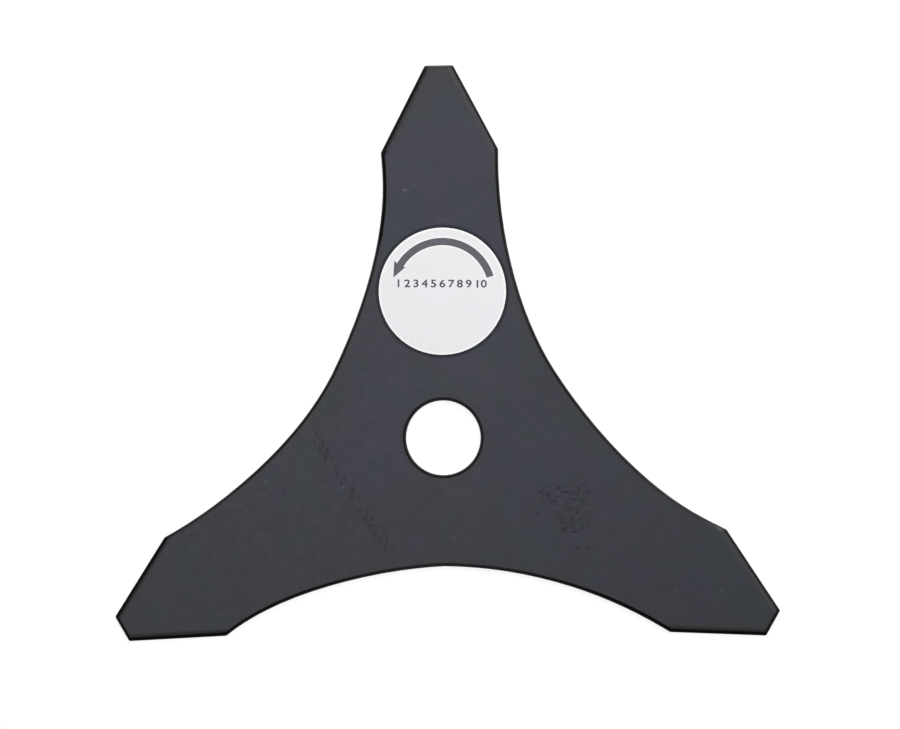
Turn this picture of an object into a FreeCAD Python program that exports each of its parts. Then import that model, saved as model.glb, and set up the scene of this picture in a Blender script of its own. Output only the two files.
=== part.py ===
import FreeCAD, Part
import math
import os

from FreeCAD import Vector

# Three-arm brush cutter blade, in millimetres.
# Origin: centre of the arbor bore, on the underside. +Z is up, out of the marked face.
# +Y runs along the arm that carries the round label; the other two arms follow at 120 degrees.

# ---- driving dimensions -------------------------------------------------------------
CUT_DIA = 255.0            # circle through the six tip corners
BORE_DIA = 25.4            # arbor hole, one inch
THICK = 1.6                # sheet thickness

TIP_W = 9.77               # width of the blunt end of each arm
EDGE_SLANT = 27.42         # angle of a cutting edge to its arm's centre line
# lengths of the six cutting edges, two to an arm, right-hand one first; the grinding isn't quite even
EDGE_LEN = ((32.75, 33.30), (31.60, 33.15), (32.15, 32.40))
WAIST_R = (43.70, 43.53, 44.20)    # bore centre to the deepest point between two arms, one per gap
# Each gap has two sides, shoulder to waist and waist to the next shoulder. A side is a smooth curve:
# SIDE_BOW says how far it bows in from its chord at the fractions SIDE_AT of the way along.
SIDE_AT = (0.08, 0.18, 0.30, 0.45, 0.62, 0.80)
SIDE_BOW = (
    ((1.92, 3.78, 5.08, 5.61, 5.03, 3.21), (1.90, 3.64, 4.91, 5.50, 5.05, 3.41)),
    ((2.10, 3.86, 5.07, 5.52, 4.96, 3.29), (1.61, 3.22, 4.57, 5.36, 5.13, 3.49)),
    ((1.82, 3.72, 5.09, 5.65, 5.09, 3.32), (1.85, 3.52, 4.80, 5.42, 5.03, 3.37)),
)

TIP_CORNER_R = 0.45        # rounding of the outline's corners, seen from above
SHOULDER_R = 0.9
TOP_ROLL = 0.65            # rolled upper rim left by the press tool
BORE_ROLL = 0.55
UNDER_BREAK = 0.12         # broken lower rim

BEVEL_W = 2.4              # ground band along each cutting edge, on the upper face only
BEVEL_LAND = 0.35          # upright land left under the ground band
BEVEL_SWING = 21.0         # half the change of slope across the band, which is slightly crowned
BEVEL_RUN = 12.0           # the grinding wheel runs on past both ends of the edge

MARK_DEPTH = 0.07          # pressed marks: shallow, worn grooves with sloping sides
MARK_W = 0.90
MARK_FLOOR = 0.30
DOT_R = 0.55

LABEL_DIA = 43.4
LABEL_T = 0.10
LABEL_AT = (0.31, 49.88)

os.makedirs("parts", exist_ok=True)


def turn(p, deg):
    a = math.radians(deg)
    return (p[0] * math.cos(a) - p[1] * math.sin(a), p[0] * math.sin(a) + p[1] * math.cos(a))


def vec(p, z=0.0):
    return Vector(p[0], p[1], z)


# ---- outline ------------------------------------------------------------------------
tip_half = TIP_W / 2.0
tip_y = math.sqrt((CUT_DIA / 2.0) ** 2 - tip_half ** 2)

# each arm: right shoulder, right tip corner, left tip corner, left shoulder; arms run anticlockwise
ss, sc = math.sin(math.radians(EDGE_SLANT)), math.cos(math.radians(EDGE_SLANT))
arms = []
for k, (len_r, len_l) in enumerate(EDGE_LEN):
    arm = [(tip_half + len_r * ss, tip_y - len_r * sc), (tip_half, tip_y),
           (-tip_half, tip_y), (-tip_half - len_l * ss, tip_y - len_l * sc)]
    arms.append([turn(p, k * 120.0) for p in arm])

edges = []
for k in range(3):
    a, b, c, d = (vec(p) for p in arms[k])
    nxt = vec(arms[(k + 1) % 3][0])
    edges.append(Part.LineSegment(a, b).toShape())
    edges.append(Part.LineSegment(b, c).toShape())
    edges.append(Part.LineSegment(c, d).toShape())
    low = vec(turn((0.0, WAIST_R[k]), k * 120.0 + 60.0))
    for (p, q), bow in zip(((d, low), (low, nxt)), SIDE_BOW[k]):
        inward = Vector(q.y - p.y, p.x - q.x, 0)
        inward.normalize()
        if inward.dot(p + q) > 0:
            inward = inward * -1.0
        side = Part.BSplineCurve()
        side.interpolate([p] + [p + (q - p) * t + inward * b for t, b in zip(SIDE_AT, bow)] + [q])
        edges.append(side.toShape())
outline = Part.Wire(edges)
plate = Part.Face(outline).extrude(Vector(0, 0, THICK))


def upright(shape, points, tol=0.02):
    found = []
    for e in shape.Edges:
        v = [q.Point for q in e.Vertexes]
        if len(v) == 2 and abs(v[0].x - v[1].x) < 1e-6 and abs(v[0].y - v[1].y) < 1e-6:
            if any(math.hypot(v[0].x - p[0], v[0].y - p[1]) < tol for p in points):
                found.append(e)
    return found


tips = [p for q in arms for p in (q[1], q[2])]
shoulders = [p for q in arms for p in (q[0], q[3])]
plate = plate.makeFillet(TIP_CORNER_R, upright(plate, tips))
plate = plate.makeFillet(SHOULDER_R, upright(plate, shoulders))

# bore
plate = plate.cut(Part.makeCylinder(BORE_DIA / 2.0, THICK + 2.0, Vector(0, 0, -1.0)))


def rim(shape, z, inner):
    found = []
    for e in shape.Edges:
        box = e.BoundBox
        if abs(box.ZMin - z) < 1e-6 and abs(box.ZMax - z) < 1e-6:
            reach = max(math.hypot(v.Point.x, v.Point.y) for v in e.Vertexes)
            if (reach < BORE_DIA / 2.0 + 0.01) == inner:
                found.append(e)
    return found


plate = plate.makeFillet(TOP_ROLL, rim(plate, THICK, False))
plate = plate.makeFillet(BORE_ROLL, rim(plate, THICK, True))
plate = plate.makeChamfer(UNDER_BREAK, rim(plate, 0.0, False))
plate = plate.makeChamfer(UNDER_BREAK, rim(plate, 0.0, True))

# ---- ground cutting edges -----------------------------------------------------------
# Section of the ground band: u runs outward across the edge, z up. The band leaves the upper face
# at u = -BEVEL_W and reaches u = 0 at the land's height, along an arc that steepens outward.
drop = THICK - BEVEL_LAND
chord = math.hypot(BEVEL_W, drop)
mean = math.atan2(drop, BEVEL_W)
swing = math.radians(BEVEL_SWING)
crown_r = chord / (2.0 * math.sin(swing))
slope_in, slope_out = mean - swing, mean + swing
cu = -BEVEL_W - crown_r * math.sin(slope_in)          # centre of the crown's arc
cz = THICK - crown_r * math.cos(slope_in)


def on_crown(slope):
    return (cu + crown_r * math.sin(slope), cz + crown_r * math.cos(slope))


def grinding(a, b, inward):
    """Solid that the wheel takes away along the edge from a to b; inward points into the blade."""
    along = Vector(b[0] - a[0], b[1] - a[1], 0)
    length = along.Length
    along.normalize()
    out = Vector(-inward[0], -inward[1], 0)
    start = Vector(a[0], a[1], 0) - along * BEVEL_RUN

    def at(p):
        return start + out * p[0] + Vector(0, 0, p[1])

    top, mid, end = on_crown(0.0), on_crown(slope_out / 2.0), on_crown(slope_out)
    past = (1.5, end[1] - 1.5 * math.tan(slope_out))
    wire = Part.Wire([
        Part.Arc(at(top), at(mid), at(end)).toShape(),
        Part.LineSegment(at(end), at(past)).toShape(),
        Part.LineSegment(at(past), at((1.5, 5.0))).toShape(),
        Part.LineSegment(at((1.5, 5.0)), at((top[0], 5.0))).toShape(),
        Part.LineSegment(at((top[0], 5.0)), at(top)).toShape(),
    ])
    return Part.Face(wire).extrude(along * (length + 2.0 * BEVEL_RUN))


cutters = []
for q in arms:
    for a, b in ((q[0], q[1]), (q[3], q[2])):
        dx, dy = b[0] - a[0], b[1] - a[1]
        n = math.hypot(dx, dy)
        inward = (-dy / n, dx / n)
        if inward[0] * (-a[0]) + inward[1] * (-a[1]) < 0:
            inward = (-inward[0], -inward[1])
        cutters.append(grinding(a, b, inward))
for c in cutters:
    plate = plate.cut(c)


# ---- pressed marks ------------------------------------------------------------------
def pill(cx, cy, z, deg, straight, r):
    """Round-ended outline: a straight part and two half circles of radius r."""
    h = straight / 2.0
    a = math.radians(deg)
    d, s = Vector(math.cos(a), math.sin(a), 0), Vector(-math.sin(a), math.cos(a), 0)
    c = Vector(cx, cy, z)
    p = [c + d * h + s * r, c + d * (h + r), c + d * h - s * r, c - d * h - s * r, c - d * (h + r), c - d * h + s * r]
    return Part.Wire([
        Part.Arc(p[0], p[1], p[2]).toShape(),
        Part.LineSegment(p[2], p[3]).toShape(),
        Part.Arc(p[3], p[4], p[5]).toShape(),
        Part.LineSegment(p[5], p[0]).toShape(),
    ])


ABOVE = 0.03               # the cutting solids reach this far over the face


def stroke(cx, cy, deg, length, width=MARK_W, floor=MARK_FLOOR, depth=MARK_DEPTH):
    """Groove with sloping sides, centred at cx, cy, running along deg."""
    spread = (width - floor) / 2.0 / depth
    straight = length - width
    low = pill(cx, cy, THICK - depth, deg, straight, floor / 2.0)
    high = pill(cx, cy, THICK + ABOVE, deg, straight, width / 2.0 + ABOVE * spread)
    return Part.makeLoft([low, high], True, True)


def dot(cx, cy, r=DOT_R):
    """Small cone-ended dimple."""
    spread = 0.6 * r / MARK_DEPTH
    return Part.makeCone(0.4 * r, r + ABOVE * spread, MARK_DEPTH + ABOVE, Vector(cx, cy, THICK - MARK_DEPTH))


marks = []
# left arm: a band of plain strokes and dots across the arm, staggered in two rows, in five groups.
# Each entry is the place along the band, the shift across it, the length (0 for a dot) and the direction.
line_deg = -57.2
ld = (math.cos(math.radians(line_deg)), math.sin(math.radians(line_deg)))
lc = (-31.2, -18.9)
LINE = (
    (-23.4, 0.9, 2.2, 92), (-22.0, -1.2, 2.2, 88), (-20.2, 1.2, 2.6, 96), (-18.8, -1.0, 2.4, 84), (-17.0, 1.1, 2.4, 98), (-15.4, -0.9, 2.2, 92), (-13.8, 1.0, 0, 0),
    (-10.0, 0.9, 1.8, 90), (-8.2, -0.9, 2.4, 96), (-6.2, 0.8, 0, 0), (-5.2, -1.2, 1.8, 84),
    (-0.9, 0.9, 2.2, 88), (0.9, -1.0, 2.4, 98), (2.8, 0.9, 1.6, 90),
    (6.0, -0.9, 2.2, 90), (7.6, 1.1, 2.2, 84), (9.2, -1.0, 2.6, 96), (10.8, 1.0, 2.2, 92), (12.5, -1.1, 2.4, 86), (14.2, 1.0, 2.2, 95), (15.6, -0.9, 0, 0),
    (18.0, -0.8, 2.4, 94), (19.8, 1.0, 2.4, 86), (21.4, -1.0, 2.0, 98), (22.9, 0.9, 1.8, 90),
)
for t, across, length, deg in LINE:
    x, y = lc[0] + ld[0] * t - ld[1] * across, lc[1] + ld[1] * t + ld[0] * across
    marks.append(stroke(x, y, deg, length) if length else dot(x, y))

# right arm: four short rows of strokes and dots, and two strokes leaning together below them
for cx, cy, deg, length in (
    (33.0, -18.6, 60.0, 2.2), (35.3, -20.0, 60.0, 2.2), (38.4, -17.6, 75.0, 2.0), (40.9, -19.2, -4.0, 2.6),
    (45.7, -18.6, 85.0, 2.2), (49.0, -18.9, 85.0, 2.6), (47.3, -16.6, -5.0, 1.6),
    (37.0, -22.2, 20.0, 2.0), (43.4, -21.6, -8.0, 2.8), (46.4, -22.4, 80.0, 1.6),
    (31.9, -26.2, 0.0, 0), (38.0, -25.7, 0.0, 0), (42.6, -24.8, 70.0, 1.9), (45.1, -26.0, 85.0, 1.8), (48.9, -25.9, 30.0, 1.5),
    (40.6, -29.4, 10.0, 1.9), (43.2, -28.3, 15.0, 1.6), (40.6, -31.8, -25.0, 1.9), (44.0, -32.6, 0.0, 2.4), (46.6, -30.4, 60.0, 1.7),
    (45.2, -38.0, -52.0, 1.7), (48.7, -38.2, 50.0, 1.7),
):
    marks.append(stroke(cx, cy, deg, length) if length else dot(cx, cy))
blade = plate.cut(Part.makeCompound(marks))
if blade.ShapeType == "Compound":
    blade = blade.Solids[0] if len(blade.Solids) == 1 else blade
blade = blade.removeSplitter() if hasattr(blade, "removeSplitter") else blade

# ---- label --------------------------------------------------------------------------
label = Part.makeCylinder(LABEL_DIA / 2.0, LABEL_T, Vector(LABEL_AT[0], LABEL_AT[1], THICK))

for name, shape in (("blade", blade), ("label", label)):
    print(name, shape.ShapeType, "solids", len(shape.Solids), "faces", len(shape.Faces), "valid", shape.isValid(),
          "volume mm3 %.1f" % shape.Volume, "box", ["%.2f" % v for v in (shape.BoundBox.XMin, shape.BoundBox.YMin, shape.BoundBox.ZMin,
                                                                        shape.BoundBox.XMax, shape.BoundBox.YMax, shape.BoundBox.ZMax)])
    shape.exportStep("parts/%s.step" % name)
print("crown radius %.3f, slope %.1f to %.1f deg" % (crown_r, math.degrees(slope_in), math.degrees(slope_out)))
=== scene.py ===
import math

import bmesh
import bpy
from mathutils import Matrix, Vector, geometry


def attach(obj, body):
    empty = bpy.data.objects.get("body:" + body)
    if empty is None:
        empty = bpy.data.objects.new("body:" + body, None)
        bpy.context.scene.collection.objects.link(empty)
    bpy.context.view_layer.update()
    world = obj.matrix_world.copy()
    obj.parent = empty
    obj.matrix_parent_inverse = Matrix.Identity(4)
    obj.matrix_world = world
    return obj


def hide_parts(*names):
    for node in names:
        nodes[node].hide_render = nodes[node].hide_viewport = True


# Studio view of a three-arm brush cutter blade. Metres, row frame: bore centre at the origin,
# underside on z = 0, the labelled arm along +Y.

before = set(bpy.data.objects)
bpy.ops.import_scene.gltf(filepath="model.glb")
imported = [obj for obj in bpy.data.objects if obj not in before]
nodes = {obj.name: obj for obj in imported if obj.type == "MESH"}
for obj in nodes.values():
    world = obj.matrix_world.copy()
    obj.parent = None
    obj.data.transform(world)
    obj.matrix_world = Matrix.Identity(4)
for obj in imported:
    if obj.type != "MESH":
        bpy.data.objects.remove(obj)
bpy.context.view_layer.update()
scene = bpy.context.scene

MM = 0.001
THICK = 1.6 * MM

# ======================================================================================
# camera: nearly straight above the plate, a long way off for its size
# ======================================================================================
CAM_DIST = 0.700
AIM = Vector((2.590 * MM, 24.896 * MM, 0.8 * MM))
BACK = Vector((0.0403, -0.0393, 1.0)).normalized()
ROLL = -0.0125
F_PX = 2056.4           # focal length in pixels of a 900 pixel wide picture

right = Vector((0, 1, 0)).cross(BACK).normalized()
up = BACK.cross(right)
r_ = right * math.cos(ROLL) + up * math.sin(ROLL)
u_ = up * math.cos(ROLL) - right * math.sin(ROLL)
cam_data = bpy.data.cameras.new("camera")
cam_data.sensor_fit = "HORIZONTAL"
cam_data.sensor_width = 36.0
cam_data.lens = F_PX * 36.0 / 900.0
cam_data.clip_start, cam_data.clip_end = 0.01, 50.0
cam = bpy.data.objects.new("camera", cam_data)
scene.collection.objects.link(cam)
m = Matrix((r_, u_, BACK)).transposed().to_4x4()
m.translation = AIM + BACK * CAM_DIST
cam.matrix_world = m
scene.camera = cam


# ======================================================================================
# node helpers
# ======================================================================================
class Tree:
    """Short hand for building a material's nodes."""

    def __init__(self, name):
        self.mat = bpy.data.materials.new(name)
        self.mat.use_nodes = True
        self.t = self.mat.node_tree
        self.t.nodes.clear()
        self.out = self.t.nodes.new("ShaderNodeOutputMaterial")
        self.bsdf = self.t.nodes.new("ShaderNodeBsdfPrincipled")
        self.t.links.new(self.bsdf.outputs[0], self.out.inputs["Surface"])
        self.coord = self.t.nodes.new("ShaderNodeTexCoord").outputs["Object"]
        self.mm = self.vec("SCALE", self.coord, scale=1000.0)

    def put(self, socket, value):
        if hasattr(value, "is_linked") or isinstance(value, bpy.types.NodeSocket):
            self.t.links.new(value, socket)
        elif hasattr(value, "__len__") and len(value) == 3 and len(socket.default_value) == 4:
            socket.default_value = (*value, 1.0)
        else:
            socket.default_value = value

    def math(self, op, a, b=0.0, c=None, clamp=False):
        n = self.t.nodes.new("ShaderNodeMath")
        n.operation, n.use_clamp = op, clamp
        self.put(n.inputs[0], a)
        self.put(n.inputs[1], b)
        if c is not None:
            self.put(n.inputs[2], c)
        return n.outputs[0]

    def vec(self, op, a, b=None, scale=None):
        n = self.t.nodes.new("ShaderNodeVectorMath")
        n.operation = op
        self.put(n.inputs[0], a)
        if b is not None:
            self.put(n.inputs[1], b)
        if scale is not None:
            self.put(n.inputs["Scale"], scale)
        return n.outputs["Value"] if op in ("LENGTH", "DISTANCE", "DOT_PRODUCT") else n.outputs["Vector"]

    def xyz(self, v):
        n = self.t.nodes.new("ShaderNodeSeparateXYZ")
        self.put(n.inputs[0], v)
        return n.outputs[0], n.outputs[1], n.outputs[2]

    def join(self, x, y, z):
        n = self.t.nodes.new("ShaderNodeCombineXYZ")
        for i, q in enumerate((x, y, z)):
            self.put(n.inputs[i], q)
        return n.outputs[0]

    def noise(self, v, scale, detail=2.0, rough=0.5, lac=2.0, distort=0.0, colour=False):
        n = self.t.nodes.new("ShaderNodeTexNoise")
        self.put(n.inputs["Vector"], v)
        n.inputs["Scale"].default_value = scale
        n.inputs["Detail"].default_value = detail
        n.inputs["Roughness"].default_value = rough
        n.inputs["Lacunarity"].default_value = lac
        n.inputs["Distortion"].default_value = distort
        return n.outputs["Color"] if colour else n.outputs["Fac"]

    def ramp(self, v, lo, hi, a=0.0, b=1.0, smooth=True):
        n = self.t.nodes.new("ShaderNodeMapRange")
        n.interpolation_type = "SMOOTHSTEP" if smooth else "LINEAR"
        self.put(n.inputs["Value"], v)
        self.put(n.inputs["From Min"], lo)
        self.put(n.inputs["From Max"], hi)
        self.put(n.inputs["To Min"], a)
        self.put(n.inputs["To Max"], b)
        return n.outputs["Result"]

    def mixv(self, fac, a, b):
        """number a where fac is 0, b where it is 1"""
        n = self.t.nodes.new("ShaderNodeMix")
        n.data_type = "FLOAT"
        n.clamp_factor = True
        self.put(n.inputs[0], fac)
        self.put(n.inputs[2], a)
        self.put(n.inputs[3], b)
        return n.outputs[0]

    def mix(self, fac, a, b, mode="MIX"):
        n = self.t.nodes.new("ShaderNodeMix")
        n.data_type, n.blend_type = "RGBA", mode
        n.clamp_factor = True
        self.put(n.inputs[0], fac)
        self.put(n.inputs[6], a)
        self.put(n.inputs[7], b)
        return n.outputs[2]

    def scale_colour(self, col, value):
        """col times a grey value"""
        g = self.join(value, value, value)
        return self.vec("MULTIPLY", col, g)

    def oval(self, cx, cy, rx, ry):
        """1 in the middle of an oval patch given in mm, 0 outside it"""
        x, y, _ = self.xyz(self.mm)
        q = self.join(self.math("DIVIDE", self.math("SUBTRACT", x, cx), rx), self.math("DIVIDE", self.math("SUBTRACT", y, cy), ry), 0.0)
        return self.ramp(self.vec("LENGTH", q), 1.0, 0.3)

    def bump(self, height, distance, strength=1.0, normal=None):
        n = self.t.nodes.new("ShaderNodeBump")
        n.inputs["Strength"].default_value = strength
        n.inputs["Distance"].default_value = distance
        self.put(n.inputs["Height"], height)
        if normal is not None:
            self.put(n.inputs["Normal"], normal)
        return n.outputs[0]


# ======================================================================================
# blade: dark satin paint on sheet steel
# ======================================================================================
TIP_HALF, TIP_Y = 4.885, 127.406
SH_X, SH_Y = 19.88, 98.52
SLANT = math.radians(27.42)
EDGE_LEN = ((32.75, 33.30), (31.60, 33.15), (32.15, 32.40))
WAIST_R = (43.70, 43.53, 44.20)
SIDE_AT = (0.08, 0.18, 0.30, 0.45, 0.62, 0.80)
SIDE_BOW = (
    ((1.92, 3.78, 5.08, 5.61, 5.03, 3.21), (1.90, 3.64, 4.91, 5.50, 5.05, 3.41)),
    ((2.10, 3.86, 5.07, 5.52, 4.96, 3.29), (1.61, 3.22, 4.57, 5.36, 5.13, 3.49)),
    ((1.82, 3.72, 5.09, 5.65, 5.09, 3.32), (1.85, 3.52, 4.80, 5.42, 5.03, 3.37)),
)


def turned(p, deg):
    a = math.radians(deg)
    return (p[0] * math.cos(a) - p[1] * math.sin(a), p[0] * math.sin(a) + p[1] * math.cos(a))


def gap_points(k):
    """The blade's side in gap k as the part has it, seen with the gap's middle along +Y; x falls."""
    def shoulder(arm, side):
        n = EDGE_LEN[arm][0 if side > 0 else 1]
        return turned((side * (TIP_HALF + n * math.sin(SLANT)), TIP_Y - n * math.cos(SLANT)), arm * 120.0 - k * 120.0 - 60.0)

    a, low, b = shoulder(k, -1), (0.0, WAIST_R[k]), shoulder((k + 1) % 3, 1)
    made = [a]
    for (p, q), bow in zip(((a, low), (low, b)), SIDE_BOW[k]):
        n = math.hypot(q[0] - p[0], q[1] - p[1])
        ix, iy = (q[1] - p[1]) / n, (p[0] - q[0]) / n
        if ix * (p[0] + q[0]) + iy * (p[1] + q[1]) > 0:
            ix, iy = -ix, -iy
        made += [(p[0] + (q[0] - p[0]) * t + ix * w, p[1] + (q[1] - p[1]) * t + iy * w) for t, w in zip(SIDE_AT, bow)]
        made.append(q)
    return made


def paint():
    T = Tree("blade_dark_satin_paint")
    x, y, z = T.xyz(T.mm)

    # --- fold the three arms onto one: v runs out along the arm, u across it --------------
    r = T.vec("LENGTH", T.join(x, y, 0.0))
    ang = T.math("ARCTAN2", x, y)                       # 0 on the labelled arm
    a3 = T.math("WRAP", ang, math.radians(-60.0), math.radians(60.0))
    # WRAP's inputs are value, max, min: either order gives the same 120 degree window
    v = T.math("MULTIPLY", r, T.math("COSINE", a3))
    u = T.math("ABSOLUTE", T.math("MULTIPLY", r, T.math("SINE", a3)))

    # --- distance in from the outline, in mm ------------------------------------------------
    ex, ey = TIP_HALF - SH_X, TIP_Y - SH_Y
    el = math.hypot(ex, ey)
    nx, ny = ey / el, -ex / el
    c0 = nx * SH_X + ny * SH_Y
    d_cut = T.math("SUBTRACT", c0, T.math("ADD", T.math("MULTIPLY", u, nx), T.math("MULTIPLY", v, ny)))
    d_tip = T.math("SUBTRACT", TIP_Y, v)
    # the three sides between the arms: height of the side over x in each gap's own frame
    REACH, BASE, SPAN = 80.0, 40.0, 30.0
    d_gap = []
    for k in range(3):
        t = math.radians(k * 120.0 + 60.0)
        gx = T.math("ADD", T.math("MULTIPLY", x, math.cos(t)), T.math("MULTIPLY", y, math.sin(t)))
        gy = T.math("SUBTRACT", T.math("MULTIPLY", y, math.cos(t)), T.math("MULTIPLY", x, math.sin(t)))
        pts = sorted(gap_points(k))
        n = T.t.nodes.new("ShaderNodeFloatCurve")
        c = n.mapping.curves[0]
        n.mapping.extend = "HORIZONTAL"
        c.points[0].location = ((pts[0][0] + REACH) / (2 * REACH), (pts[0][1] - BASE) / SPAN)
        c.points[1].location = ((pts[-1][0] + REACH) / (2 * REACH), (pts[-1][1] - BASE) / SPAN)
        for q in pts[1:-1]:
            c.points.new((q[0] + REACH) / (2 * REACH), (q[1] - BASE) / SPAN)
        n.mapping.update()
        T.put(n.inputs["Value"], T.math("DIVIDE", T.math("ADD", gx, REACH), 2 * REACH))
        side = T.math("ADD", T.math("MULTIPLY", n.outputs[0], SPAN), BASE)
        # the side's slope grows evenly from the gap's middle, so its cosine is near that of a circle
        lean = T.math("SQRT", T.math("SUBTRACT", 1.0, T.math("POWER", T.math("DIVIDE", T.math("MINIMUM", T.math("ABSOLUTE", gx), 80.0), 145.0), 2.0)))
        d_gap.append(T.math("MULTIPLY", T.math("SUBTRACT", side, gy), lean))
    d_arc = T.math("MINIMUM", T.math("MINIMUM", d_gap[0], d_gap[1]), d_gap[2])
    d_out = T.math("MINIMUM", T.math("MINIMUM", d_cut, d_tip), d_arc)
    d_bore = T.math("SUBTRACT", r, 12.7)
    d_rim = T.math("MINIMUM", d_out, d_bore)

    geo = T.t.nodes.new("ShaderNodeNewGeometry")
    _, _, tz = T.xyz(geo.outputs["True Normal"])
    wall = T.ramp(T.math("ABSOLUTE", tz), 0.55, 0.15)   # 1 on the upright edges
    nx_, _, _ = T.xyz(geo.outputs["Normal"])
    # painted shade: the dark line along every rim, on the rolled part of the pressed edges and the last bit of the
    # ground ones
    ground = T.math("MULTIPLY", T.ramp(d_cut, 2.95, 2.65), T.ramp(v, SH_Y - 0.6, SH_Y + 0.2))
    # the painted shade is stronger or weaker along each side; on the labelled arm's left side it reaches further in
    wider = T.ramp(y, 62.0, 70.0, 0.0, 0.30)
    gap0_shade = T.math("ADD", T.math("ADD", T.ramp(y, -24.0, -8.0, 0.60, 0.86), T.ramp(y, 20.0, 45.0, 0.0, -0.12)), T.ramp(y, 62.0, 70.0, 0.0, 0.26))
    gap1_shade = T.ramp(T.math("ABSOLUTE", x), 5.0, 60.0, 0.72, 1.0)
    gap2_shade = T.math("ADD", T.math("ADD", T.ramp(y, -28.0, -6.0, 0.34, 0.66), T.ramp(y, -2.0, 16.0, 0.0, 0.15)),
                   T.math("ADD", T.ramp(y, 32.0, 48.0, 0.0, -0.16), T.ramp(y, 62.0, 72.0, 0.0, 0.26)))
    rolled = T.math("MULTIPLY", T.ramp(d_bore, 1.30, 0.80), 0.85)
    rolled = T.math("MAXIMUM", rolled, T.math("MULTIPLY", T.ramp(T.math("SUBTRACT", d_gap[0], wider), 1.30, 0.80), gap0_shade))
    rolled = T.math("MAXIMUM", rolled, T.math("MULTIPLY", T.ramp(T.math("SUBTRACT", d_gap[1], T.ramp(x, 45.0, 55.0, 0.0, 0.15)), 1.42, 0.92), gap1_shade))
    rolled = T.math("MAXIMUM", rolled, T.math("MULTIPLY", T.ramp(d_gap[2], 1.30, 0.80), gap2_shade))
    rolled = T.math("MULTIPLY", rolled, T.ramp(v, SH_Y + 1.2, SH_Y + 0.4))   # beyond the shoulders only the ground line counts
    # painted shade along the blunt ends, stronger on the two lower arms
    blunt = T.math("MULTIPLY", T.ramp(d_tip, 1.45, 0.90), T.ramp(y, 70.0, 60.0, 0.32, 0.85))
    # on edges whose normal turns away from +X, away from the lights on the right, the painted shade reaches further in
    shade_side = T.ramp(nx_, 0.20, 0.08)
    ground_rim = T.mixv(shade_side, T.math("MULTIPLY", T.ramp(d_cut, 1.15, 0.62), 0.80), T.math("MULTIPLY", T.ramp(d_cut, 1.80, 0.85), T.ramp(y, 70.0, 60.0, 0.88, 1.0)))
    rim = T.math("MAXIMUM", T.mixv(ground, rolled, ground_rim), blunt)
    rim = T.math("MULTIPLY", rim, T.ramp(z, 0.05, 0.15))
    # the painted shade is lifted off the very arris again
    arris = T.mixv(ground, T.math("MULTIPLY", T.ramp(d_rim, 0.60, 0.20), 0.95), T.math("MULTIPLY", T.ramp(d_cut, 0.44, 0.14), 0.80))
    # the rims' painted shade, less at the very arris
    painted_rim_shade = T.math("MULTIPLY", rim, T.math("SUBTRACT", 1.0, arris))

    # --- colour ---------------------------------------------------------------------------
    big = T.noise(T.mm, 0.045, 3.0, 0.55, distort=0.6)
    hue = T.noise(T.vec("ADD", T.mm, (91.0, 17.0, 5.0)), 0.075, 2.0, 0.5, distort=0.8)
    hue2 = T.noise(T.vec("ADD", T.mm, (-40.0, 63.0, 9.0)), 0.11, 2.0, 0.5)
    base = T.mix(T.ramp(hue, 0.38, 0.62), (0.0417, 0.0402, 0.0610), (0.0369, 0.0414, 0.0562))
    base = T.mix(T.math("MULTIPLY", T.ramp(hue2, 0.45, 0.66), 0.6), base, (0.0431, 0.0393, 0.0592))
    # a shade greener out along the two lower arms
    base = T.mix(T.ramp(y, 10.0, -55.0, 0.0, 0.55), base, (0.0349, 0.0396, 0.0466))
    # and a shade less blue towards the end of the upper one
    base = T.mix(T.ramp(y, 98.0, 120.0, 0.0, 0.55), base, (0.0408, 0.0420, 0.0522))
    base = T.scale_colour(base, T.ramp(big, 0.25, 0.75, 0.975, 1.025))
    # broad, faint drifts of tint over the plate
    tint = (1.019, 1.030, 0.938)
    for f, c in (
        (T.ramp(y, 48.0, 64.0), (0.002, 0.014, 0.089)),
        (T.ramp(y, 96.0, 120.0), (-0.016, -0.018, -0.062)),
        (T.ramp(y, 10.0, -55.0), (0.013, -0.022, 0.053)),
        (T.oval(-20.0, 8.0, 24.0, 30.0), (0.001, 0.010, 0.110)),
        (T.oval(30.0, -8.0, 26.0, 30.0), (0.014, -0.019, 0.055)),
        (T.oval(-38.0, 20.0, 26.0, 26.0), (-0.050, -0.020, -0.116)),
        (T.oval(14.0, 30.0, 22.0, 22.0), (0.055, 0.040, 0.085)),
        (T.ramp(x, -80.0, -104.0), (0.026, 0.070, 0.036)),
        (T.ramp(x, 80.0, 104.0), (-0.028, 0.040, 0.014)),
    ):
        tint = T.vec("ADD", tint, T.vec("SCALE", c, scale=f))
    base = T.vec("MULTIPLY", base, tint)
    # mottling of the paint: in depth, and in its blue and red share
    depth = T.ramp(T.noise(T.vec("ADD", T.mm, (3.0, 8.0, 1.0)), 0.10, 5.0, 0.90, lac=2.1), 0.3, 0.7, 0.935, 1.065, smooth=False)
    blue = T.ramp(T.noise(T.vec("ADD", T.mm, (-21.0, 4.0, 1.0)), 0.085, 3.0, 0.85), 0.3, 0.7, 0.915, 1.085, smooth=False)
    red = T.ramp(T.noise(T.vec("ADD", T.mm, (14.0, -37.0, 1.0)), 0.095, 3.0, 0.80), 0.3, 0.7, 0.955, 1.045, smooth=False)
    base = T.vec("MULTIPLY", base, T.join(T.math("MULTIPLY", depth, red), depth, T.math("MULTIPLY", depth, blue)))
    grain = T.noise(T.mm, 2.1, 3.0, 0.65)
    base = T.scale_colour(base, T.ramp(grain, 0.2, 0.8, 0.95, 1.05))
    # towards the rim the paint is thinner and less blue
    rim_warm = T.ramp(d_rim, 3.2, 0.6)
    base = T.mix(T.math("MULTIPLY", rim_warm, 0.75), base, (0.0404, 0.0406, 0.0410))
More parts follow.
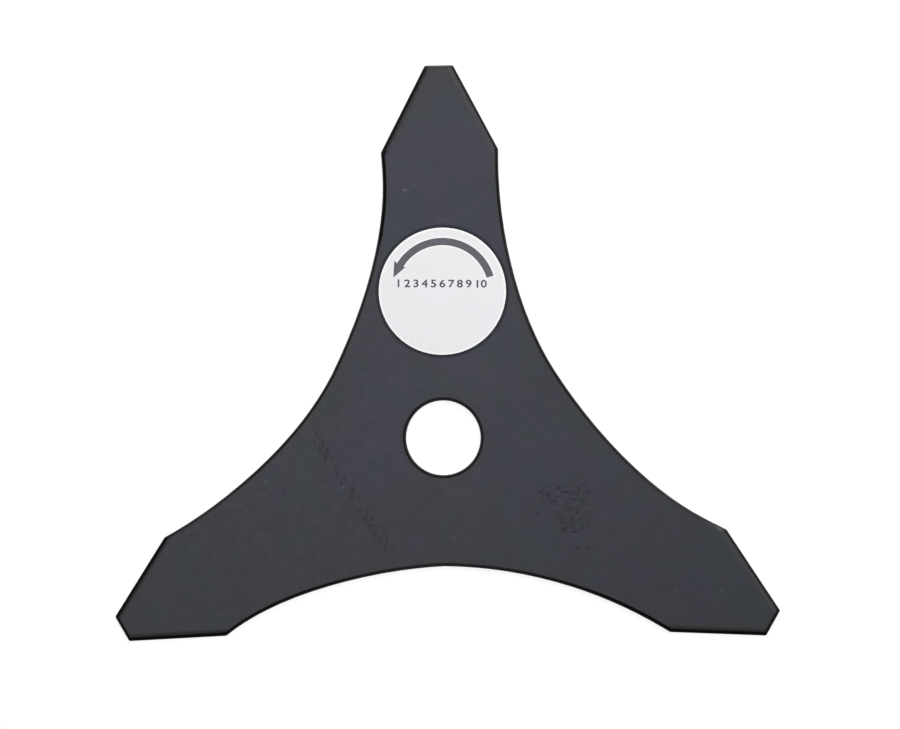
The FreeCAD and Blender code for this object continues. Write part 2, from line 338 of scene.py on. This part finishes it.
    # painted shadow: a thin dark line where the sticker's edge meets the paint
    d_lab = T.math("SUBTRACT", T.vec("LENGTH", T.join(T.math("SUBTRACT", x, LX), T.math("SUBTRACT", y, LY), 0.0)), LR)
    label_edge_shadow = T.math("MAXIMUM", T.math("MULTIPLY", T.ramp(d_lab, 1.40, 0.75), 0.42), T.math("MULTIPLY", T.ramp(d_lab, 0.55, 0.10), 0.80))
    label_edge_shadow = T.math("MULTIPLY", label_edge_shadow, T.ramp(z, 1.0, 1.4))
    base = T.scale_colour(base, T.math("SUBTRACT", 1.0, label_edge_shadow))
    # painted shade on the rims and upright edges: nearly black, with fine shear lines
    shear = T.noise(T.join(T.math("MULTIPLY", x, 3.0), T.math("MULTIPLY", y, 3.0), T.math("MULTIPLY", z, 0.35)), 1.0, 3.0, 0.6)
    edge_col = T.scale_colour((0.0040, 0.0038, 0.0036), T.ramp(shear, 0.3, 0.7, 0.75, 1.25))
    dark = T.math("MAXIMUM", rim, wall)
    base = T.mix(T.math("MAXIMUM", painted_rim_shade, wall), base, T.mix(wall, edge_col, T.scale_colour((0.0105, 0.0105, 0.0112), T.ramp(shear, 0.3, 0.7, 0.7, 1.3))))
    # the upper arm's blunt end is lighter along its rim
    tip_rim_lighter = T.math("MULTIPLY", T.ramp(y, 126.55, 126.95), T.ramp(z, 0.6, 1.1))
    base = T.mix(tip_rim_lighter, base, (0.085, 0.083, 0.080))
    # handling dirt round the pressed marks, patchy
    patch = T.ramp(T.noise(T.vec("ADD", T.mm, (5.0, -31.0, 2.0)), 0.55, 2.0, 0.6), 0.42, 0.62)
    dirt = None
    for sx, sy, rx, ry, deg, k in SMUDGES:
        q = T.vec("SUBTRACT", T.mm, (sx, sy, 1.6))
        n = T.t.nodes.new("ShaderNodeVectorRotate")
        n.rotation_type = "Z_AXIS"
        n.inputs["Angle"].default_value = math.radians(-deg)
        T.put(n.inputs["Vector"], q)
        q = T.vec("DIVIDE", n.outputs[0], (rx, ry, 1.0))
        s = T.math("MULTIPLY", T.ramp(T.vec("LENGTH", q), 1.0, 0.55), k)
        dirt = s if dirt is None else T.math("MAXIMUM", dirt, s)
    base = T.scale_colour(base, T.math("SUBTRACT", 1.0, T.math("MULTIPLY", dirt, patch)))
    # floors of the pressed marks are darker: partly painted shade in the recesses, partly paint and dirt pooled there
    recess_shade_and_pooled_paint = T.math("MULTIPLY", T.ramp(z, 1.595, 1.540), T.math("MULTIPLY", T.ramp(z, 1.42, 1.46), T.ramp(d_rim, 3.0, 3.4)))
    base = T.scale_colour(base, T.math("SUBTRACT", 1.0, T.math("MULTIPLY", recess_shade_and_pooled_paint, T.ramp(x, -10.0, 10.0, 0.11, 0.25))))

    # small nicks in the paint, where the metal shows grey, and the lighter strip by the right-hand arm's shoulder
    specks = None
    for sx, sy, rx, ry, deg, k in SPECKS:
        q = T.vec("SUBTRACT", T.mm, (sx, sy, 1.6))
        n = T.t.nodes.new("ShaderNodeVectorRotate")
        n.rotation_type = "Z_AXIS"
        n.inputs["Angle"].default_value = math.radians(-deg)
        T.put(n.inputs["Vector"], q)
        q = T.vec("DIVIDE", n.outputs[0], (rx, ry, 1.0))
        s = T.math("MULTIPLY", T.ramp(T.vec("LENGTH", q), 1.0, 0.35), k)
        specks = s if specks is None else T.math("MAXIMUM", specks, s)
    base = T.mix(specks, base, (0.30, 0.31, 0.32))

    T.put(T.bsdf.inputs["Base Color"], base)
    rough = T.ramp(T.noise(T.vec("ADD", T.mm, (7.0, 3.0, 1.0)), 0.35, 4.0, 0.6), 0.25, 0.75, 0.40, 0.50)
    rough = T.math("MAXIMUM", rough, T.math("MULTIPLY", T.math("MAXIMUM", rim, T.math("MAXIMUM", wall, label_edge_shadow)), 0.88))
    T.put(T.bsdf.inputs["Roughness"], rough)
    T.bsdf.inputs["IOR"].default_value = 1.5
    T.bsdf.inputs["Specular IOR Level"].default_value = 0.18
    # the rims and upright edges in painted shade, and the painted shadow by the sticker, take the shine away
    T.put(T.bsdf.inputs["Specular Tint"], T.mix(T.math("MAXIMUM", dark, label_edge_shadow), (1.0, 1.0, 1.0), (0.03, 0.03, 0.03)))

    # --- relief: orange peel, fine paint grain, very slow waviness of rolled sheet ----------
    peel = T.noise(T.mm, 0.9, 2.0, 0.5)
    fine = T.noise(T.mm, 4.5, 2.0, 0.6)
    wave = T.noise(T.join(T.math("MULTIPLY", x, 0.6), y, z), 0.035, 1.0, 0.4)
    n1 = T.bump(wave, 0.00012, 0.6)
    n2 = T.bump(peel, 0.000010, 0.55, n1)
    n3 = T.bump(fine, 0.000004, 0.6, n2)
    n4 = T.bump(shear, 0.00002, 0.5, n3)
    T.put(T.bsdf.inputs["Normal"], n4)
    return T.mat


# label, in mm: centre and radius
LX, LY, LR = 0.31, 49.88, 21.7

# nicks and one lighter strip: centre x, y in mm, half sizes, direction, strength
SPECKS = [
    (-12.15, 84.6, 1.05, 0.62, 2.0, 0.20),
    (-8.45, 86.3, 0.60, 0.50, 0.0, 0.07),
    (-60.6, -14.1, 0.65, 0.55, 20.0, 0.15),
    (-46.2, 5.8, 0.50, 0.45, 0.0, 0.07),
    (23.7, 20.5, 0.45, 0.40, 0.0, 0.10),
    (20.6, -30.3, 0.55, 0.45, 0.0, 0.07),
    (-34.2, -16.5, 1.10, 0.40, 5.0, 0.08),
    (40.0, -24.7, 1.00, 0.50, 0.0, 0.05),
    (65.9, -26.6, 0.95, 0.75, 0.0, 0.04),
    (77.7, -52.8, 0.60, 0.50, 30.0, 0.12),
    (93.4, -52.6, 0.60, 0.50, -20.0, 0.12),
    (0.7, 74.5, 3.60, 0.45, 0.0, 0.03),
    # a lighter strip just inside the upper shoulder of the right-hand arm
    (92.9, -31.9, 2.30, 0.70, -27.0, 0.21),
    (90.2, -30.5, 2.90, 0.60, -27.0, 0.10),
]

# patches of handling dirt, listed the same way
SMUDGES = [
    (-39.5, -5.6, 8.0, 3.4, -57.2, 0.18),
    (-31.2, -18.9, 9.0, 3.0, -57.2, 0.13),
    (-22.9, -31.8, 9.0, 3.4, -57.2, 0.20),
    (40.5, -20.5, 11.5, 6.5, -3.0, 0.26),
    (43.5, -28.5, 7.5, 5.5, 0.0, 0.28),
    (47.0, -38.2, 3.6, 2.0, 0.0, 0.10),
    (3.5, 80.6, 2.6, 1.6, 10.0, 0.14),
]

blade = nodes["blade"]
blade.data.materials[0] = paint()

# ======================================================================================
# label: a round film sticker, its print set into the top face as triangles
# ======================================================================================
LABEL_T = 0.10


def ring(cx, cy, radius, count, start=0.0):
    return [(cx + radius * math.cos(start + 2 * math.pi * i / count), cy + radius * math.sin(start + 2 * math.pi * i / count)) for i in range(count)]


def arc_pts(radius, a0, a1, count):
    return [(radius * math.cos(math.radians(a0 + (a1 - a0) * i / count)), radius * math.sin(math.radians(a0 + (a1 - a0) * i / count))) for i in range(count + 1)]


def arrow_outline():
    """Turning arrow round the label, in mm from the label's centre."""
    ri, ro = 15.74, 18.19
    band_out = arc_pts(ro, 16.0, 147.6, 72)
    band_in = arc_pts(ri, 147.0, 16.0, 72)
    barb_out = [(19.45 * math.cos(math.radians(146.6)), 19.45 * math.sin(math.radians(146.6)))]
    tip = [(17.35 * math.cos(math.radians(163.6)), 17.35 * math.sin(math.radians(163.6)))]
    barb_in = [(15.05 * math.cos(math.radians(146.0)), 15.05 * math.sin(math.radians(146.0)))]
    return band_out + barb_out + tip + barb_in + band_in


def numerals():
    """Closed loops of a row of plain numerals, in mm from the label's centre."""
    made = []
    text = "1 2 3 4 5 6 7 8 9 10"
    curve = bpy.data.curves.new("numerals_tmp", "FONT")
    curve.body = text
    curve.size = 4.15
    curve.resolution_u = 5
    curve.space_word = 0.7
    curve.offset = 0.085                    # bold strokes
    curve.align_x, curve.align_y = "CENTER", "CENTER"
    obj = bpy.data.objects.new("numerals_tmp", curve)
    scene.collection.objects.link(obj)
    bpy.context.view_layer.update()
    mesh = bpy.data.meshes.new_from_object(obj.evaluated_get(bpy.context.evaluated_depsgraph_get()))
    bm = bmesh.new()
    bm.from_mesh(mesh)
    bmesh.ops.remove_doubles(bm, verts=bm.verts, dist=1e-4)
    edges = {e for e in bm.edges if len(e.link_faces) == 1}
    while edges:
        e = edges.pop()
        a, b = e.verts
        loop = [a, b]
        while True:
            nxt = next((q for q in loop[-1].link_edges if q in edges), None)
            if nxt is None:
                break
            edges.discard(nxt)
            v = nxt.other_vert(loop[-1])
            if v is loop[0]:
                break
            loop.append(v)
        made.append([(p.co.x, p.co.y) for p in loop])
    bm.free()
    bpy.data.objects.remove(obj)
    bpy.data.meshes.remove(mesh)
    xs = [p[0] for q in made for p in q]
    ys = [p[1] for q in made for p in q]
    w, h = max(xs) - min(xs), max(ys) - min(ys)
    mx, my = (max(xs) + min(xs)) / 2, (max(ys) + min(ys)) / 2
    sx, sy = 30.4 / w, 2.75 / h
    ca, sa = math.cos(math.radians(-1.2)), math.sin(math.radians(-1.2))
    made = [[((p[0] - mx) * sx, (p[1] - my) * sy) for p in q] for q in made]
    return [[(p[0] * ca - p[1] * sa + 0.0, p[0] * sa + p[1] * ca + 2.6) for p in q] for q in made]


def area2(loop):
    return sum(a[0] * b[1] - b[0] * a[1] for a, b in zip(loop, loop[1:] + loop[:1]))


def inside(p, loop):
    hit = False
    for a, b in zip(loop, loop[1:] + loop[:1]):
        if (a[1] > p[1]) != (b[1] > p[1]):
            if p[0] < (b[0] - a[0]) * (p[1] - a[1]) / (b[1] - a[1]) + a[0]:
                hit = not hit
    return hit


def build_label():
    n = 180
    edge = 0.045
    print_loops = [arrow_outline()] + numerals()
    verts, cons = [], []

    def add(loop):
        k = len(verts)
        verts.extend(Vector(p) for p in loop)
        cons.extend((k + i, k + (i + 1) % len(loop)) for i in range(len(loop)))

    rim = ring(0, 0, LR - edge, n)
    add(rim)
    for q in print_loops:
        add(q)
    # a loose lattice keeps the triangles even
    step = 1.6
    k = int(LR / step) + 1
    for i in range(-k, k + 1):
        for j in range(-k, k + 1):
            p = ((i + 0.5 * (j % 2)) * step, j * step * 0.866)
            if math.hypot(*p) < LR - 1.0:
                verts.append(Vector(p))
    out = geometry.delaunay_2d_cdt(verts, cons, [], 0, 1e-5)
    pts, faces = out[0], out[2]
    bm = bmesh.new()
    top = [bm.verts.new(((p[0] + LX) * MM, (p[1] + LY) * MM, THICK + LABEL_T * MM)) for p in pts]
    bm.verts.ensure_lookup_table()
    inked = 0
    for f in faces:
        c = (sum(pts[i][0] for i in f) / len(f), sum(pts[i][1] for i in f) / len(f))
        if math.hypot(*c) > LR - edge:
            continue
        ink = sum(inside(c, q) for q in print_loops) % 2 == 1
        face = bm.faces.new([top[i] for i in f])
        face.material_index = 1 if ink else 0
        inked += ink
    # roll the rim over and close the underside
    border = [e for e in bm.edges if len(e.link_faces) == 1]
    order = [border[0].verts[0]]
    left = set(border)
    while True:
        e = next((q for q in order[-1].link_edges if q in left), None)
        if e is None:
            break
        left.discard(e)
        v = e.other_vert(order[-1])
        if v is order[0]:
            break
        order.append(v)
    cx, cy = LX * MM, LY * MM

    def grown(r_mm, z):
        made = []
        for v in order:
            d = Vector((v.co.x - cx, v.co.y - cy))
            d.normalize()
            made.append(bm.verts.new((cx + d.x * r_mm * MM, cy + d.y * r_mm * MM, z)))
        return made

    rings = [order, grown(LR - 0.012, THICK + (LABEL_T - 0.013) * MM), grown(LR, THICK + (LABEL_T - 0.045) * MM), grown(LR, THICK)]
    for a, b in zip(rings, rings[1:]):
        for i in range(len(order)):
            j = (i + 1) % len(order)
            bm.faces.new((a[i], a[j], b[j], b[i]))
    inner = grown(LR * 0.5, THICK)
    last = rings[-1]
    for i in range(len(order)):
        j = (i + 1) % len(order)
        bm.faces.new((last[i], last[j], inner[j], inner[i]))
    bm.faces.new(inner)
    bmesh.ops.recalc_face_normals(bm, faces=bm.faces)
    for f in bm.faces:
        f.smooth = False
    mesh = bpy.data.meshes.new("label_film")
    bm.to_mesh(mesh)
    bm.free()
    obj = bpy.data.objects.new("label_film", mesh)
    scene.collection.objects.link(obj)
    print("label: faces", len(mesh.polygons), "inked", inked)
    return obj


def film():
    T = Tree("label_white_film")
    soft = T.noise(T.mm, 0.10, 3.0, 0.55)
    fibre = T.noise(T.mm, 1.3, 4.0, 0.6)
    base = T.mix(T.ramp(soft, 0.35, 0.65), (0.838, 0.838, 0.860), (0.850, 0.846, 0.876))
    base = T.scale_colour(base, T.ramp(fibre, 0.2, 0.8, 0.985, 1.012))
    # the upper part has yellowed a touch
    base = T.mix(T.ramp(T.xyz(T.mm)[1], LY - 2.0, LY + 18.0, 0.0, 1.0), base, (0.826, 0.822, 0.838))
    # the film is brighter along its rim
    x, y, _ = T.xyz(T.mm)
    r = T.vec("LENGTH", T.join(T.math("SUBTRACT", x, LX), T.math("SUBTRACT", y, LY), 0.0))
    base = T.mix(T.ramp(r, LR - 0.95, LR - 0.45), base, (0.955, 0.955, 0.960))
    # and a little brighter right beside the printed arrow
    ang = T.math("ARCTAN2", T.math("SUBTRACT", y, LY), T.math("SUBTRACT", x, LX))
    span = T.math("MULTIPLY", T.ramp(ang, math.radians(12.0), math.radians(16.0)), T.ramp(ang, math.radians(160.0), math.radians(150.0)))
    beside = T.ramp(T.math("ABSOLUTE", T.math("SUBTRACT", T.math("ABSOLUTE", T.math("SUBTRACT", r, 16.965)), 1.52)), 0.60, 0.25)
    base = T.mix(T.math("MULTIPLY", T.math("MULTIPLY", beside, span), 0.55), base, (0.955, 0.955, 0.960))
    T.put(T.bsdf.inputs["Base Color"], base)
    T.put(T.bsdf.inputs["Roughness"], T.ramp(fibre, 0.2, 0.8, 0.50, 0.62))
    T.bsdf.inputs["IOR"].default_value = 1.46
    n1 = T.bump(T.noise(T.mm, 0.22, 2.0, 0.5), 0.00004, 0.4)
    n2 = T.bump(fibre, 0.000006, 0.5, n1)
    T.put(T.bsdf.inputs["Normal"], n2)
    return T.mat


def ink():
    T = Tree("label_slate_ink")
    cover = T.noise(T.mm, 1.6, 3.0, 0.6)
    base = T.mix(T.ramp(cover, 0.3, 0.7), (0.090, 0.093, 0.112), (0.104, 0.107, 0.129))
    # the ink lies thicker along both sides of the printed band, and in the small numerals
    x, y, _ = T.xyz(T.mm)
    r = T.vec("LENGTH", T.join(T.math("SUBTRACT", x, LX), T.math("SUBTRACT", y, LY), 0.0))
    thick = T.ramp(T.math("ABSOLUTE", T.math("SUBTRACT", r, 16.965)), 0.60, 1.10)
    numeral = T.ramp(r, 14.9, 14.7)
    base = T.scale_colour(base, T.math("SUBTRACT", 1.0, T.math("MAXIMUM", T.math("MULTIPLY", thick, 0.22), T.math("MULTIPLY", numeral, 0.46))))
    T.put(T.bsdf.inputs["Base Color"], base)
    T.put(T.bsdf.inputs["Roughness"], T.ramp(cover, 0.2, 0.8, 0.50, 0.60))
    T.bsdf.inputs["IOR"].default_value = 1.46
    n2 = T.bump(T.noise(T.mm, 1.3, 4.0, 0.6), 0.000006, 0.5)
    T.put(T.bsdf.inputs["Normal"], n2)
    return T.mat


label = build_label()
label.data.materials.append(film())
label.data.materials.append(ink())
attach(label, "root")
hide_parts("label")

# ======================================================================================
# floor and light
# ======================================================================================
floor_mesh = bpy.data.meshes.new("floor")
h = 6.0
floor_mesh.from_pydata([(-h, -h, 0), (h, -h, 0), (h, h, 0), (-h, h, 0)], [], [(0, 1, 2, 3)])
floor = bpy.data.objects.new("floor", floor_mesh)
floor.location.z = -0.00015
scene.collection.objects.link(floor)
F = Tree("floor_white")
F.bsdf.inputs["Base Color"].default_value = (0.22, 0.22, 0.22, 1)
F.bsdf.inputs["Roughness"].default_value = 0.9
F.bsdf.inputs["Specular IOR Level"].default_value = 0.0
F.bsdf.inputs["Emission Color"].default_value = (1, 1, 1, 1)
F.bsdf.inputs["Emission Strength"].default_value = 0.84
clear = F.t.nodes.new("ShaderNodeBsdfTransparent")
side = F.t.nodes.new("ShaderNodeMixShader")
F.put(side.inputs[0], F.t.nodes.new("ShaderNodeNewGeometry").outputs["Backfacing"])
F.t.links.new(F.bsdf.outputs[0], side.inputs[1])
F.t.links.new(clear.outputs[0], side.inputs[2])
F.t.links.new(side.outputs[0], F.out.inputs["Surface"])
floor_mesh.materials.append(F.mat)

world = bpy.data.worlds.new("studio")
world.use_nodes = True
world.node_tree.nodes["Background"].inputs["Color"].default_value = (0.97, 0.985, 1.0, 1)
world.node_tree.nodes["Background"].inputs["Strength"].default_value = 0.06
scene.world = world


def softbox(name, azimuth, elevation, distance, size, size_y, watts, aim=(0, 0.02, 0), colour=(1, 1, 1)):
    """azimuth is measured from +X towards +Y"""
    data = bpy.data.lights.new(name, "AREA")
    data.shape, data.size, data.size_y = "RECTANGLE", size, size_y
    data.energy, data.color = watts, colour
    obj = bpy.data.objects.new(name, data)
    scene.collection.objects.link(obj)
    a, e = math.radians(azimuth), math.radians(elevation)
    back = Vector((math.cos(a) * math.cos(e), math.sin(a) * math.cos(e), math.sin(e)))
    obj.location = Vector(aim) + back * distance
    obj.rotation_mode = "QUATERNION"
    obj.rotation_quaternion = back.to_track_quat("Z", "Y")
    return obj


# name, azimuth, elevation, distance, side, watts
for spec in (
    ("low_back", 70.0, 20.0, 1.2, 0.6, 3.52),
    ("right", 35.0, 42.0, 1.2, 0.6, 3.49),
    ("high_right", 35.0, 64.0, 1.2, 0.6, 2.10),
    ("near_back", 90.0, 45.0, 0.6, 0.35, 1.51),
    ("high_left", 180.0, 64.0, 1.2, 0.6, 0.22),
    ("top_left", 180.0, 80.0, 1.2, 0.5, 3.57),
):
    name, azimuth, elevation, distance, side, watts = spec
    softbox(name, azimuth, elevation, distance, side, side, watts)

scene.view_settings.view_transform = "Standard"
scene.view_settings.look = "None"
scene.view_settings.exposure = 0.0
scene.view_settings.gamma = 1.0
